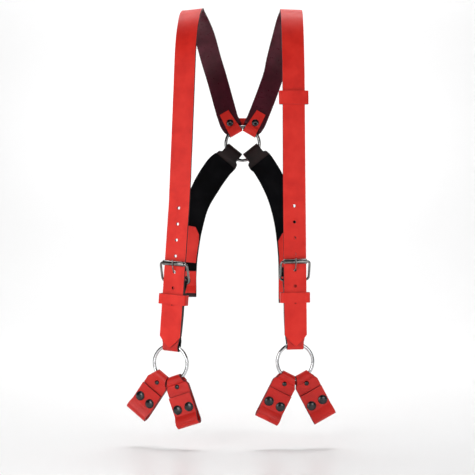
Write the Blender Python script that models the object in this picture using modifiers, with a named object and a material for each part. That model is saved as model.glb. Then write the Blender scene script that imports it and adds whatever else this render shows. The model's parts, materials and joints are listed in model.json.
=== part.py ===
"""Leather suspenders: two shoulder straps meeting at a back ring, two rear straps, and front tabs.

Metres, +Z up, the front faces -Y. The origin is the point midway between the two shoulder
crowns, on the underside of the straps. "left" and "right" are as seen from the front.
Each piece is modelled in the frame of its own group, a frame whose axes match the world's
when the group hangs straight: X across, Y towards the back, Z up.
"""

import math

import bmesh
import bpy
from mathutils import Matrix, Vector

MM = 0.001
GAP = 0.3 * MM

# Leather and straps
LEATHER = 3.0 * MM
CHAPE_LEATHER = 2.5 * MM
LINING_LEATHER = 1.2 * MM
STRAP_WIDTH = 35 * MM
FRONT_DEPTH = -100 * MM
BACK_DEPTH = 100 * MM
CROWN_BLEND_DROP = 100 * MM

# Adjustment holes, counted from the one that the prong holds, positive upwards
HOLE_RADIUS = 2.4 * MM
HOLE_PITCH = 25 * MM
HOLES_ABOVE = 4
HOLES_BELOW = 2
TIP_BELOW_HOLE = 118.3 * MM
TIP_LENGTH = 17 * MM
TIP_END_HALF = 1.5 * MM
STRAIGHT_ABOVE_HOLE = 110 * MM

# Buckle
WIRE_RADIUS = 2.25 * MM
BUCKLE_SIDE_ROOM = 3 * MM
BUCKLE_WIDTH = STRAP_WIDTH + 2 * BUCKLE_SIDE_ROOM + 4 * WIRE_RADIUS
BUCKLE_CORNER = 5 * MM
HEEL_BELOW_HOLE = 15.3 * MM
FRONT_BAR_ABOVE_HOLE = 13.7 * MM
ROLLER_RADIUS = 4.0 * MM
ROLLER_OVERHANG = 0.5 * MM
ROLLER_LENGTH = STRAP_WIDTH + 2 * ROLLER_OVERHANG
PRONG_RADIUS = 1.25 * MM
PRONG_INSET = 1.45 * MM
PRONG_RISE = 3 * MM
PRONG_FRONT = 1.7 * MM
PRONG_BEND = 1.4 * MM
PRONG_SLACK = 0.25 * MM
PRONG_TIP_PAST_BAR = 6 * MM
SLOT_WIDTH = 4.5 * MM
SLOT_HEIGHT = 16 * MM
SLOT_DEPTH = 20 * MM
SLOT_ABOVE_HEEL = 1 * MM

# Rings
RING_WIRE = 2.75 * MM
FOLD_SPREAD = 1.5 * MM
FOLD_ROOM = 1.3 * MM
FRONT_RING_RADIUS = 28.25 * MM
BACK_RING_RADIUS = 28.7 * MM
FRONT_RING_BELOW_HOLE = 144 * MM
BACK_RING = Vector((8.8, 100, -205)) * MM

# Chape, the strip that joins the buckle to the front ring
CHAPE_RING_HALF = 13 * MM
CHAPE_TAPER = 18 * MM
CHAPE_TAPER_ABOVE_RING = 40 * MM
CHAPE_CLOSED_ABOVE_RING = 45 * MM
CHAPE_BUTT_BELOW_HOLE = 70 * MM
CHAPE_CLOSED_BELOW_HEEL = 16 * MM
CHAPE_ROUND_BAR = 4 * MM

# Keepers
KEEPER_LEATHER = 2.5 * MM
KEEPER_SIDE_ROOM = 3.2 * MM
KEEPER_FACE_ROOM = 0.8 * MM
KEEPER_CORNER = 1.9 * MM
BUCKLE_KEEPER_HEIGHT = 16 * MM
BUCKLE_KEEPER_BELOW_HOLE = 43 * MM
SHOULDER_KEEPER_HEIGHT = 21 * MM
SHOULDER_KEEPER_ABOVE_HOLE = 269 * MM

# Button tabs on the front rings
TAB_HALF = 19 * MM
TAB_FOLD_HALF = 9 * MM
TAB_SHOULDER = 18.7 * MM
TAB_LENGTH = 82 * MM
TAB_FOLD_DRAW = 2.4 * MM
TAB_RIVET_ROOM = 0.64 * MM
TAB_APART = math.radians(1.31)
TAB_BUTT_FROM_TOP = 31.2 * MM
TAB_SNAP_ABOVE_BOTTOM = 29.4 * MM
TAB_SNAP_SPACING = 20.2 * MM
TAB_HANG = math.radians(3.89)

# Belt loops, at the foot of a tab and of a rear strap
LOOP_INNER_RADIUS = 4.5 * MM
LEAF_RISE = 11 * MM
HINGE_ROOM = 1.8 * MM

# Snap fasteners and rivets
CAP_RADIUS = 7.5 * MM
CAP_DOME = 3.0 * MM
CAP_RIM = 0.8 * MM
SOCKET_RADIUS = 4.6 * MM
SOCKET_DEPTH = 1.7 * MM
RECESS_RADIUS = 2.7 * MM
RECESS_DEPTH = 1.15 * MM
STUD_RADIUS = 2.1 * MM
STUD_HEIGHT = 1.25 * MM
STUD_FLANGE_RADIUS = 4.2 * MM
STUD_FLANGE = 0.6 * MM
STUD_BASE_RADIUS = 4.8 * MM
STUD_BASE = 1.0 * MM
POST_RADIUS = 1.5 * MM
SNAP_ROOM = 0.45 * MM
LEAF_OFFSET = LEATHER + 2 * GAP + SOCKET_DEPTH + STUD_FLANGE + SNAP_ROOM
TAB_RIVET_HEAD = 3.6 * MM
BACK_RIVET_HEAD = 6.0 * MM
RIVET_DOME = 1.8 * MM
RIVET_RIM = 0.4 * MM
DRILL_REACH = 8 * MM

# Shoulder straps at the back ring
SHOULDER_TILT = math.radians(30)
SHOULDER_FOLD_HALF = 11.5 * MM
SHOULDER_APART = 4.32 * MM
SHOULDER_TAPER_FROM = (STRAP_WIDTH / 2 + SHOULDER_APART) / math.tan(SHOULDER_TILT)
SHOULDER_TAPER_TO = 20 * MM
SHOULDER_JOINED = 35.2 * MM
SHOULDER_FOLD_OUT = 1 * MM
SHOULDER_FLAP_END = 62 * MM
SHOULDER_FLAP_END_HALF = 8.75 * MM
BACK_RIVET_FROM_RING = 41.5 * MM
END_RUN = 7.2 * MM
END_STRAIGHT = SHOULDER_TAPER_FROM + END_RUN

# Yoke patch between the back rivets
YOKE_THICKNESS = 2.5 * MM
YOKE_HALF_HEIGHT = 9 * MM
YOKE_OVERHANG = 11 * MM

# Rear straps
REAR_TILT = math.radians(38.7)
REAR_FOLD_HALF = 15 * MM
REAR_FOLD_OUT = 4 * MM
REAR_FLAP_END = 62 * MM
REAR_LEAF_HEIGHT = 45 * MM
REAR_SNAP_ABOVE_BOTTOM = 28.5 * MM
REAR_PATCH_LENGTH = 74 * MM
REAR_PATCH_POINT = 20 * MM
REAR_HANG = math.radians(1.48)
REAR_JOINED = 42 * MM
REAR_TAPER_FROM = 14 * MM
REAR_TAPER = 28 * MM
REAR_WIDENING = 6.5 * MM
REAR_LEAD = 12 * MM
REAR_FOOT_RUN = 20 * MM
LINING_INSET = 0.4 * MM
LINING_ABOVE_LEAF = 8 * MM
PATCH_INSET = 1.5 * MM
PATCH_ABOVE_LEAF = 5 * MM
PATCH_BLUNT = 3 * MM

# Each side: where the held hole lies, how the front strap turns and leans, how the strap runs over
# the shoulder and down the back, how the tabs spread, and how the rear strap runs (X, Z, half width)
SIDES = {
    "left": {
        "sign": -1,
        "hole": Vector((-98, -100, -419.8)) * MM,
        "yaw": math.radians(-22),
        "lean": math.radians(4.3),
        "over_shoulder": [(-83.5, -100, -140), (-80.5, -95, -62), (-76, -72, -18), (-72.5, -38, -1),
                          (-70.7, 0, 1.5), (-66, 42, -3), (-56, 76, -24), (-45, 97, -62), (-34.7, 101.65, -95.7)],
        "tab_lean": math.radians(4.5),
        "rear_run": [(-33, -246.7, 23), (-53, -276.8, 22.5), (-69.8, -311.9, 20), (-80, -357.8, 18),
                     (-86, -400, 17.5), (-88, -430, 17.5)],
        "rear_foot": (-88, -468),
    },
    "right": {
        "sign": 1,
        "hole": Vector((89.5, -100, -416.7)) * MM,
        "yaw": math.radians(8),
        "lean": math.radians(-0.7),
        "over_shoulder": [(87.5, -100, -140), (86.5, -95, -62), (86, -72, -18), (86, -38, -1),
                          (86, 0, 1.5), (83, 42, -3), (77, 76, -24), (67, 97, -62), (59.2, 101.65, -95.7)],
        "tab_lean": 0.0,
        "rear_run": [(45.1, -243.3, 20.5), (59.7, -268, 20.6), (73.3, -301.3, 20), (82.5, -345, 18.5),
                     (87, -395, 17.5), (88, -435, 17.5)],
        "rear_foot": (88, -478),
    },
}

ACROSS = Vector((1, 0, 0))
FACING_FRONT = Matrix.Rotation(math.radians(90), 4, "X")


# ---------------------------------------------------------------- scene and objects

def clear_scene():
    for obj in list(bpy.data.objects):
        bpy.data.objects.remove(obj, do_unlink=True)


def new_collection(name, helpers=False):
    collection = bpy.data.collections.new(name)
    collection.hide_render = helpers
    bpy.context.scene.collection.children.link(collection)
    return collection


def new_material(name, colour, roughness, metallic):
    material = bpy.data.materials.new(name)
    material.use_nodes = True
    shader = material.node_tree.nodes["Principled BSDF"]
    shader.inputs["Base Color"].default_value = (*colour, 1)
    shader.inputs["Roughness"].default_value = roughness
    shader.inputs["Metallic"].default_value = metallic
    material.diffuse_color = (*colour, 1)
    return material


clear_scene()
PARTS = new_collection("suspenders")
CUTTERS = new_collection("suspenders_cutters", helpers=True)
RED = new_material("red_leather", (0.68, 0.045, 0.03), 0.45, 0)
BLACK = new_material("black_lining", (0.01, 0.01, 0.012), 0.8, 0)
CHROME = new_material("chrome", (0.75, 0.75, 0.76), 0.12, 1)
NICKEL = new_material("dark_nickel", (0.25, 0.24, 0.23), 0.25, 1)
SNAP_BLACK = new_material("black_enamel", (0.012, 0.012, 0.013), 0.25, 0.3)


def add_object(name, mesh, matrix, material, body=None):
    """Puts a mesh in the scene as one sub-part, under its body's pivot where it has one."""
    obj = bpy.data.objects.new(name, mesh)
    if not mesh.materials:
        mesh.materials.append(material)
    PARTS.objects.link(obj)
    if body is not None:
        obj.parent = body
        obj.matrix_parent_inverse = body.matrix_world.inverted()
    obj.matrix_world = matrix
    return obj


def pivot(name, matrix, parent=None):
    """An empty on a joint's axis, which carries the pieces that move with the joint."""
    empty = bpy.data.objects.new(name, None)
    empty.empty_display_size = 0.01
    PARTS.objects.link(empty)
    if parent is not None:
        empty.parent = parent
        empty.matrix_parent_inverse = parent.matrix_world.inverted()
    empty.matrix_world = matrix
    bpy.context.view_layer.update()
    return empty


def shade_round(mesh, angle=40):
    mesh.shade_smooth()
    mesh.set_sharp_from_angle(angle=math.radians(angle))


# ---------------------------------------------------------------- shapes

def arc(centre_y, centre_z, radius, start, end, steps):
    """Points (y, z) along an arc, angles in degrees from +Y towards +Z."""
    points = []
    for step in range(steps + 1):
        angle = math.radians(start + (end - start) * step / steps)
        points.append((centre_y + radius * math.cos(angle), centre_z + radius * math.sin(angle)))
    return points


def ease(start, end, steps=4):
    """Points (y, z) from start to end, whose y eases in and out as z runs evenly."""
    points = []
    for step in range(1, steps):
        part = step / steps
        smooth = part * part * (3 - 2 * part)
        points.append((start[0] + (end[0] - start[0]) * smooth, start[1] + (end[1] - start[1]) * part))
    return points


def smooth_run(points, steps):
    """Points along a Catmull-Rom curve through the given ones."""
    run = []
    for index in range(1, len(points) - 2):
        before, start, end, after = points[index - 1:index + 3]
        for step in range(steps):
            t = step / steps
            run.append(0.5 * (2 * start + (end - before) * t
                              + (2 * before - 5 * start + 4 * end - after) * t ** 2
                              + (3 * start - before - 3 * end + after) * t ** 3))
    run.append(points[-2])
    return run


def section(points, half_width, frame=None, aside=0.0):
    """Stations (centre, across, half width) for a strip whose centre line is points (y, z)."""
    frame = frame or Matrix.Identity(4)
    turn = frame.to_3x3()
    return [(frame @ Vector((aside, y, z)), turn @ ACROSS, half_width(z)) for y, z in points]


def strip(name, stations, thickness, material, matrix=None, body=None):
    """Leather of even thickness: a grid laid through the stations and thickened both ways."""
    mesh = bpy.data.meshes.new(name)
    shape = bmesh.new()
    rows = len(stations) - 1
    bmesh.ops.create_grid(shape, x_segments=1, y_segments=rows, size=0.5)
    for vertex in shape.verts:
        centre, across, half_width = stations[round((vertex.co.y + 0.5) * rows)]
        side = 1 if vertex.co.x > 0 else -1
        vertex.co = centre + across * (side * half_width)
    shape.to_mesh(mesh)
    shape.free()
    shade_round(mesh)
    obj = add_object(name, mesh, matrix or Matrix.Identity(4), material, body)
    solid = obj.modifiers.new("thickness", "SOLIDIFY")
    solid.thickness = thickness
    solid.offset = 0
    solid.use_even_offset = True
    return obj


def turned(name, profile, matrix, material, body=None, steps=14):
    """A turned piece: profile (radius, height), from its top on the axis down to its foot."""
    mesh = bpy.data.meshes.get(name) or bpy.data.meshes.new(name)
    shape = bmesh.new()
    corners = [shape.verts.new((radius, 0, height)) for radius, height in profile]
    for first, second in zip(corners, corners[1:]):
        shape.edges.new((first, second))
    shape.to_mesh(mesh)
    shape.free()
    obj = add_object(name, mesh, matrix, material, body)
    screw = obj.modifiers.new("turn", "SCREW")
    screw.steps = steps
    screw.render_steps = steps
    screw.use_merge_vertices = True
    screw.merge_threshold = 0.00001
    return obj


def outline_solid(name, outlines, depth, matrix, material, body=None):
    """A flat piece: closed outlines (x, y), the outer one first, filled and given a depth."""
    curve = bpy.data.curves.new(name, "CURVE")
    curve.dimensions = "2D"
    curve.fill_mode = "BOTH"
    curve.extrude = depth / 2
    for outline in outlines:
        spline = curve.splines.new("POLY")
        spline.points.add(len(outline) - 1)
        for point, (x, y) in zip(spline.points, outline):
            point.co = (x, y, 0, 1)
        spline.use_cyclic_u = True
    guide = bpy.data.objects.new(name + "_guide", curve)
    return mesh_from_curve(name, guide, matrix, material, body)


def wire(name, points, radius, matrix, material, body=None, cyclic=False, sides=1):
    """A round wire along points in 3D."""
    curve = bpy.data.curves.new(name, "CURVE")
    curve.dimensions = "3D"
    curve.bevel_depth = radius
    curve.bevel_resolution = sides
    curve.use_fill_caps = not cyclic
    spline = curve.splines.new("POLY")
    spline.points.add(len(points) - 1)
    for point, place in zip(spline.points, points):
        point.co = (*place, 1)
    spline.use_cyclic_u = cyclic
    guide = bpy.data.objects.new(name + "_guide", curve)
    return mesh_from_curve(name, guide, matrix, material, body)


def mesh_from_curve(name, guide, matrix, material, body):
    """The curve's solid as a mesh, with its caps welded on, so that it can be cut."""
    PARTS.objects.link(guide)
    bpy.context.view_layer.update()
    graph = bpy.context.evaluated_depsgraph_get()
    mesh = bpy.data.meshes.new_from_object(guide.evaluated_get(graph))
    bpy.data.objects.remove(guide, do_unlink=True)
    mesh.name = name
    shape = bmesh.new()
    shape.from_mesh(mesh)
    bmesh.ops.remove_doubles(shape, verts=shape.verts, dist=0.00001)
    bmesh.ops.recalc_face_normals(shape, faces=shape.faces)
    shape.to_mesh(mesh)
    shape.free()
    shade_round(mesh)
    return add_object(name, mesh, matrix, material, body)


def rounded_outline(left, right, bottom, top, radius, steps=5):
    """Corner-rounded rectangle as points (x, y), anticlockwise."""
    points = []
    centres = ((right - radius, top - radius), (left + radius, top - radius),
               (left + radius, bottom + radius), (right - radius, bottom + radius))
    for quarter, (x, y) in enumerate(centres):
        points += arc(x, y, radius, 90 * quarter, 90 * quarter + 90, steps)
    return points


def circle_outline(radius, steps):
    return [(radius * math.cos(math.tau * step / steps), radius * math.sin(math.tau * step / steps))
            for step in range(steps)]


def drill(obj, matrix, places, radius):
    """Cuts round holes along the matrix's Y, at places (x, z), through every layer there."""
    mesh = bpy.data.meshes.new(obj.name + "_holes")
    shape = bmesh.new()
    for x, z in places:
        place = Matrix.Translation((x, 0, z)) @ FACING_FRONT
        bmesh.ops.create_cone(shape, cap_ends=True, segments=12, radius1=radius, radius2=radius,
                              depth=2 * DRILL_REACH, matrix=place)
    shape.to_mesh(mesh)
    shape.free()
    cut(obj, mesh, matrix)


def cut(obj, mesh, matrix):
    cutter = bpy.data.objects.new(mesh.name, mesh)
    CUTTERS.objects.link(cutter)
    cutter.hide_render = True
    cutter.display_type = "WIRE"
    cutter.matrix_world = matrix
    boolean = obj.modifiers.new("holes", "BOOLEAN")
    boolean.operation = "DIFFERENCE"
    boolean.solver = "EXACT"
    boolean.object = cutter


# ---------------------------------------------------------------- folds and loops

def ring_fold(ring_radius, half_width, offset_aside, inside_y, thickness, direction):
    """Centre line (y, z) of a strip folded round a ring's wire, from its front layer to its back one.

    Its inner end clears the wire over the whole half width, measured from offset_aside.
    direction is 1 where the strip leads away along +Z, -1 where it leads away along -Z.
    """
    radius = RING_WIRE + FOLD_ROOM + thickness / 2
    widest = abs(offset_aside) + half_width
    inner_edge = math.sqrt((ring_radius - RING_WIRE) ** 2 - widest ** 2) - GAP
    centre = inner_edge + RING_WIRE + FOLD_ROOM
    far = ring_radius + RING_WIRE + GAP
    turn = arc(inside_y, -centre, radius, 180, 0, 8)
    points = [(inside_y - radius, -far)] + turn + [(inside_y + radius, -far)]
    return [(y, -direction * z) for y, z in points]


def wire_middle(ring_radius, half_width, offset_aside=0.0):
    """How far from the ring's centre the middle of the wire's run through a fold lies."""
    widest = abs(offset_aside) + half_width
    return (ring_radius + math.sqrt(ring_radius ** 2 - widest ** 2)) / 2


def loop_foot(back_y, bottom, leaf_top, thickness):
    """The belt loop at a strip's foot: its fold, its hinge point, and its leaf, as points (y, z)."""
    radius = LOOP_INNER_RADIUS + thickness / 2
    centre_z = bottom + radius + thickness / 2
    fold = arc(back_y - radius, centre_z, radius, 0, -180, 8)
    hinge = (back_y - 2 * radius, centre_z)
    foot = (hinge[0], centre_z + HINGE_ROOM)
    knee = (back_y - LEAF_OFFSET, centre_z + HINGE_ROOM + LEAF_RISE)
    leaf = [foot] + ease(foot, knee) + [knee, (knee[0], leaf_top)]
    return fold, hinge, leaf


def snap_cap(name, matrix, body):
    """Domed cap, post and socket of one snap; height 0 is the middle of the leaf that holds it."""
    face = LEATHER / 2 + GAP
    rim = face + CAP_RIM
    dome = [(CAP_RADIUS * math.cos(math.radians(a)), rim + (CAP_DOME - CAP_RIM) * math.sin(math.radians(a)))
            for a in (90, 58, 28)]
    dome[0] = (0, dome[0][1])
    foot = -face - SOCKET_DEPTH
    profile = dome + [(CAP_RADIUS, rim), (CAP_RADIUS, face), (POST_RADIUS, face), (POST_RADIUS, -face),
                      (SOCKET_RADIUS, -face), (SOCKET_RADIUS, foot), (RECESS_RADIUS, foot),
                      (RECESS_RADIUS, foot + RECESS_DEPTH), (0, foot + RECESS_DEPTH)]
    return turned(name, profile, matrix @ FACING_FRONT, SNAP_BLACK, body)


def snap_stud(name, matrix, body):
    """Stud, post and base of one snap; height 0 is the middle of the leather that holds it."""
    face = LEATHER / 2 + GAP
    head = face + STUD_FLANGE
    profile = [(0, head + STUD_HEIGHT), (STUD_RADIUS, head + STUD_HEIGHT), (STUD_RADIUS, head),
               (STUD_FLANGE_RADIUS, head), (STUD_FLANGE_RADIUS, face), (POST_RADIUS, face),
               (POST_RADIUS, -face), (STUD_BASE_RADIUS, -face), (STUD_BASE_RADIUS, -face - STUD_BASE),
               (0, -face - STUD_BASE)]
    return turned(name, profile, matrix @ FACING_FRONT, SNAP_BLACK, body, steps=12)


def rivet(name, matrix, head_radius, front, back, body):
    """Domed rivet whose post runs from height front down to height back."""
    rim = front + RIVET_RIM
    dome = [(head_radius * math.cos(math.radians(a)), rim + (RIVET_DOME - RIVET_RIM) * math.sin(math.radians(a)))
            for a in (90, 60, 30)]
    dome[0] = (0, dome[0][1])
    profile = dome + [(head_radius, rim), (head_radius, front), (POST_RADIUS, front), (POST_RADIUS, back),
                      (head_radius, back), (head_radius, back - STUD_BASE), (0, back - STUD_BASE)]
    return turned(name, profile, matrix @ FACING_FRONT, SNAP_BLACK, body, steps=14)


# ---------------------------------------------------------------- frames of the groups

def front_frame(side):
    """The front strap's frame, at the middle of the hole that the prong holds."""
    turn = Matrix.Rotation(side["yaw"], 4, "Z") @ Matrix.Rotation(side["lean"], 4, "Y")
    return Matrix.Translation(side["hole"]) @ turn


def shoulder_keeper_frame(side):
    """Where the loose keeper hangs on the upper front strap, leaning and turned as the strap is there."""
    top, low = (Vector(side["over_shoulder"][index]) * MM for index in (0, 1))
    lean = math.atan2(low.x - top.x, low.z - top.z)
    place = side["hole"] + Vector((0, 0, SHOULDER_KEEPER_ABOVE_HOLE))
    place.x = top.x + (low.x - top.x) * (place.z - top.z) / (low.z - top.z)
    return Matrix.Translation(place) @ Matrix.Rotation(side["yaw"], 4, "Z") @ Matrix.Rotation(lean, 4, "Y")


def back_ring_frame(tilt, aside=0.0):
    turn = Matrix.Rotation(tilt, 4, "Y")
    return Matrix.Translation(BACK_RING) @ turn @ Matrix.Translation((aside, 0, 0))


def hung(frame, point, angle):
    """The frame turned about the X line through a point of its own, as its pieces hang."""
    return frame @ Matrix.Translation(point) @ Matrix.Rotation(angle, 4, "X") @ Matrix.Translation(-point)


CHAPE_FRONT = LEATHER / 2 + GAP + CHAPE_LEATHER / 2
CHAPE_BACK = CHAPE_FRONT + CHAPE_LEATHER + GAP
HEEL = Vector((0, CHAPE_FRONT + CHAPE_LEATHER / 2 + GAP + WIRE_RADIUS, -HEEL_BELOW_HOLE))
FRONT_BAR = Vector((0, -(LEATHER / 2 + GAP + ROLLER_RADIUS), FRONT_BAR_ABOVE_HOLE))
RING_PLANE = CHAPE_FRONT + CHAPE_LEATHER / 2 + FOLD_ROOM + RING_WIRE
FRONT_RING = Vector((0, RING_PLANE, -FRONT_RING_BELOW_HOLE))
FRONT_RING_TOP = FRONT_RING + Vector((0, 0, wire_middle(FRONT_RING_RADIUS, CHAPE_RING_HALF)))


# ---------------------------------------------------------------- straps

def shoulder_half_width(z):
    """Half width near the back ring, by the distance from the ring's centre."""
    if z >= SHOULDER_TAPER_FROM:
        return STRAP_WIDTH / 2
    part = max(0.0, (SHOULDER_TAPER_FROM - z) / (SHOULDER_TAPER_FROM - SHOULDER_TAPER_TO))
    return STRAP_WIDTH / 2 + (SHOULDER_FOLD_HALF - STRAP_WIDTH / 2) * part ** 1.6


def flap_half_width(z):
    part = (SHOULDER_FLAP_END - z) / (SHOULDER_FLAP_END - SHOULDER_TAPER_TO)
    return SHOULDER_FLAP_END_HALF + (SHOULDER_FOLD_HALF - SHOULDER_FLAP_END_HALF) * min(1.0, part)


def tip_half_width(z):
    above = z + TIP_BELOW_HOLE
    if above >= TIP_LENGTH:
        return STRAP_WIDTH / 2
    return TIP_END_HALF + (STRAP_WIDTH / 2 - TIP_END_HALF) * (above / TIP_LENGTH) ** 0.85


def spine_stations(points, outward, steps, half_width):
    """Stations along a smooth curve through world points, facing outward(point)."""
    run = smooth_run(points, steps)
    stations = []
    for index in range(1, len(run) - 1):
        along = (run[index + 1] - run[index - 1]).normalized()
        facing = outward(run[index])
        facing = (facing - along * facing.dot(along)).normalized()
        stations.append((run[index], along.cross(facing), half_width))
    return stations


def shoulder_strap(name, side):
    frame = front_frame(side)
    tip = [(0, -TIP_BELOW_HOLE + TIP_LENGTH * part) for part in (0, 0.35, 0.7, 1)]
    straight = section(tip + [(0, 0), (0, STRAIGHT_ABOVE_HOLE)], tip_half_width, frame)

    tilt = side["sign"] * SHOULDER_TILT
    end_frame = back_ring_frame(tilt, aside=side["sign"] * SHOULDER_FOLD_OUT)
    layer = LEATHER / 2 + GAP / 2
    turn = ring_fold(BACK_RING_RADIUS, SHOULDER_FOLD_HALF + FOLD_SPREAD, 0, 0, LEATHER, 1)
    main = [(layer, END_STRAIGHT), (layer, SHOULDER_TAPER_FROM), (layer, SHOULDER_JOINED)]
    main += ease(main[-1], turn[-1]) + turn[::-1][:5]
    flap = turn[::-1][5:]
    flap += ease(flap[-1], (-layer, SHOULDER_JOINED)) + [(-layer, SHOULDER_JOINED)]
    flap += [(-layer, SHOULDER_FLAP_END)]
    end = section(main, shoulder_half_width, end_frame) + section(flap, flap_half_width, end_frame)

    def outward(point):
        above = max(0.0, point.z + CROWN_BLEND_DROP)
        front = max(0.0, -point.y / BACK_DEPTH)
        return Vector((math.sin(side["yaw"]) * front * BACK_DEPTH, point.y, above))

    over = [Vector(point) * MM for point in side["over_shoulder"]]
    first, last = straight[-1][0], end[0][0]
    beyond = end_frame @ Vector((0, layer, SHOULDER_TAPER_TO))
    points = [first - (over[0] - first) * 0.5, first] + over + [last, beyond]
    curve = spine_stations(points, outward, 4, STRAP_WIDTH / 2)
    obj = strip(name, straight + curve + end, LEATHER, RED)
    places = [(0, HOLE_PITCH * step) for step in range(-HOLES_BELOW, HOLES_ABOVE + 1)]
    drill(obj, frame, places, HOLE_RADIUS)
    drill(obj, end_frame, [(0, BACK_RIVET_FROM_RING)], POST_RADIUS + GAP)
    return obj


def yoke_and_rivets():
    """The patch behind both straps, and the two rivets that hold it and the straps' flaps."""
    layer = LEATHER / 2 + GAP / 2
    yoke_y = RING_WIRE + FOLD_ROOM + LEATHER + GAP + YOKE_THICKNESS / 2
    reach = BACK_RIVET_FROM_RING * math.sin(SHOULDER_TILT) + SHOULDER_FOLD_OUT * math.cos(SHOULDER_TILT)
    height = BACK_RIVET_FROM_RING * math.cos(SHOULDER_TILT) - SHOULDER_FOLD_OUT * math.sin(SHOULDER_TILT)
    half = reach + YOKE_OVERHANG
    outline = rounded_outline(-half, half, -YOKE_HALF_HEIGHT, YOKE_HALF_HEIGHT, YOKE_HALF_HEIGHT * 0.95)
    centre = Matrix.Translation(BACK_RING + Vector((0, yoke_y, height)))
    yoke = outline_solid("back_yoke", [outline], YOKE_THICKNESS, centre @ FACING_FRONT, RED)
    drill(yoke, centre, [(-reach, 0), (reach, 0)], POST_RADIUS + GAP)
    front = layer + LEATHER / 2 + GAP
    back = -(yoke_y + YOKE_THICKNESS / 2 + GAP)
    for name, side in SIDES.items():
        place = Matrix.Translation(BACK_RING + Vector((side["sign"] * reach, 0, height)))
        rivet(f"{name}_back_rivet", place, BACK_RIVET_HEAD, front, back, None)


def rear_strap(name, side):
    """Rear strap with its lining, patch, belt loop and snap, on the back ring's wire."""
    sign = side["sign"]
    hinge_point = Vector((0, 0, -wire_middle(BACK_RING_RADIUS, REAR_FOLD_HALF, REAR_FOLD_OUT)))
    frame = back_ring_frame(-sign * REAR_TILT, aside=sign * REAR_FOLD_OUT)
    hang = hung(frame, hinge_point, REAR_HANG) @ frame.inverted()
    body = pivot(f"{name}_rear_strap_pivot", frame @ Matrix.Translation(hinge_point))

    layer = LEATHER / 2 + GAP / 2
    turn = ring_fold(BACK_RING_RADIUS, REAR_FOLD_HALF, REAR_FOLD_OUT, 0, LEATHER, -1)
    flap = [(layer, -REAR_FLAP_END), (layer, -REAR_JOINED)]
    flap += ease(flap[-1], turn[-1], 3) + turn[::-1]
    main = ease(turn[0], (-layer, -REAR_JOINED), 3) + [(-layer, -REAR_JOINED)]

    def half_width(z):
        part = min(1.0, max(0.0, (-z - REAR_TAPER_FROM) / REAR_TAPER))
        return REAR_FOLD_HALF + REAR_WIDENING * part

    flap_end = section(flap, lambda z: REAR_FOLD_HALF, frame)
    start = section(main, half_width, frame)

    foot_x, bottom = side["rear_foot"][0] * MM, side["rear_foot"][1] * MM
    strap_y = BACK_DEPTH - layer
    run_in = start[-1][0]
    widths = [start[-1][2]] + [MM * value for _, _, value in side["rear_run"]] + [STRAP_WIDTH / 2]
    leaf_top = bottom + REAR_LEAF_HEIGHT
    knots = [run_in] + [Vector((x * MM, strap_y, z * MM)) for x, z, _ in side["rear_run"]]
    knots.append(Vector((foot_x, strap_y, bottom + REAR_FOOT_RUN)))
    lead = frame @ Vector((0, -layer, REAR_LEAD - REAR_JOINED))
    steps = 4
    curve = spine_stations([lead] + knots + [knots[-1] - Vector((0, 0, REAR_FOOT_RUN / 2))],
                           lambda point: Vector((0, -1, 0)), steps, 0)
    run = []
    for index, (centre, across, _) in enumerate(curve):
        place = min((index + 1) / steps, len(widths) - 1.001)
        low = int(place)
        wide = widths[low] + (widths[low + 1] - widths[low]) * (place - low)
        run.append((centre, -across, wide))
    fold, hinge, leaf = loop_foot(0, 0, REAR_LEAF_HEIGHT, LEATHER)
    foot_frame = Matrix.Translation((foot_x, strap_y, bottom))
    foot = section([(0, REAR_FOOT_RUN)] + fold, lambda z: STRAP_WIDTH / 2, foot_frame)
    strap = strip(f"{name}_rear_strap", flap_end + start + run + foot, LEATHER, RED, hang, body)
    snap = foot_frame @ Matrix.Translation((0, 0, REAR_SNAP_ABOVE_BOTTOM))
    drill(strap, hang @ snap, [(0, 0)], POST_RADIUS + GAP)

    def facing(stations, distance, trim):
        return [(centre + Vector((0, -distance, 0)), across, wide - trim) for centre, across, wide in stations]

    lining_off = LEATHER / 2 + GAP + LINING_LEATHER / 2
    above_leaf = [station for station in [start[-1]] + run if station[0].z > leaf_top + LINING_ABOVE_LEAF]
    strip(f"{name}_rear_lining", facing(above_leaf, lining_off, LINING_INSET), LINING_LEATHER, BLACK, hang, body)

    patch_off = lining_off + LINING_LEATHER / 2 + GAP + CHAPE_LEATHER / 2
    patch_top = leaf_top + PATCH_ABOVE_LEAF + REAR_PATCH_LENGTH
    patch = []
    for centre, across, wide in facing(above_leaf, patch_off, PATCH_INSET):
        below = patch_top - centre.z
        if below > 0:
            point = min(1.0, (below + PATCH_BLUNT) / REAR_PATCH_POINT)
            patch.append((centre, across, wide * point ** 0.7))
    strip(f"{name}_rear_patch", patch, CHAPE_LEATHER, RED, hang, body)

    snap_stud(f"{name}_rear_snap_stud", hang @ snap, body)
    hinge_frame = hang @ foot_frame @ Matrix.Translation((0, hinge[0], hinge[1]))
    flap_body = pivot(f"{name}_rear_flap_pivot", hinge_frame, body)
    leaf_piece = strip(f"{name}_rear_flap", section(leaf, lambda z: STRAP_WIDTH / 2, foot_frame), LEATHER, RED,
                       hang, flap_body)
    cap_place = snap @ Matrix.Translation((0, -LEAF_OFFSET, 0))
    drill(leaf_piece, hang @ cap_place, [(0, 0)], POST_RADIUS + GAP)
    snap_cap(f"{name}_rear_snap_cap", hang @ cap_place, flap_body)


# ---------------------------------------------------------------- front assembly

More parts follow.
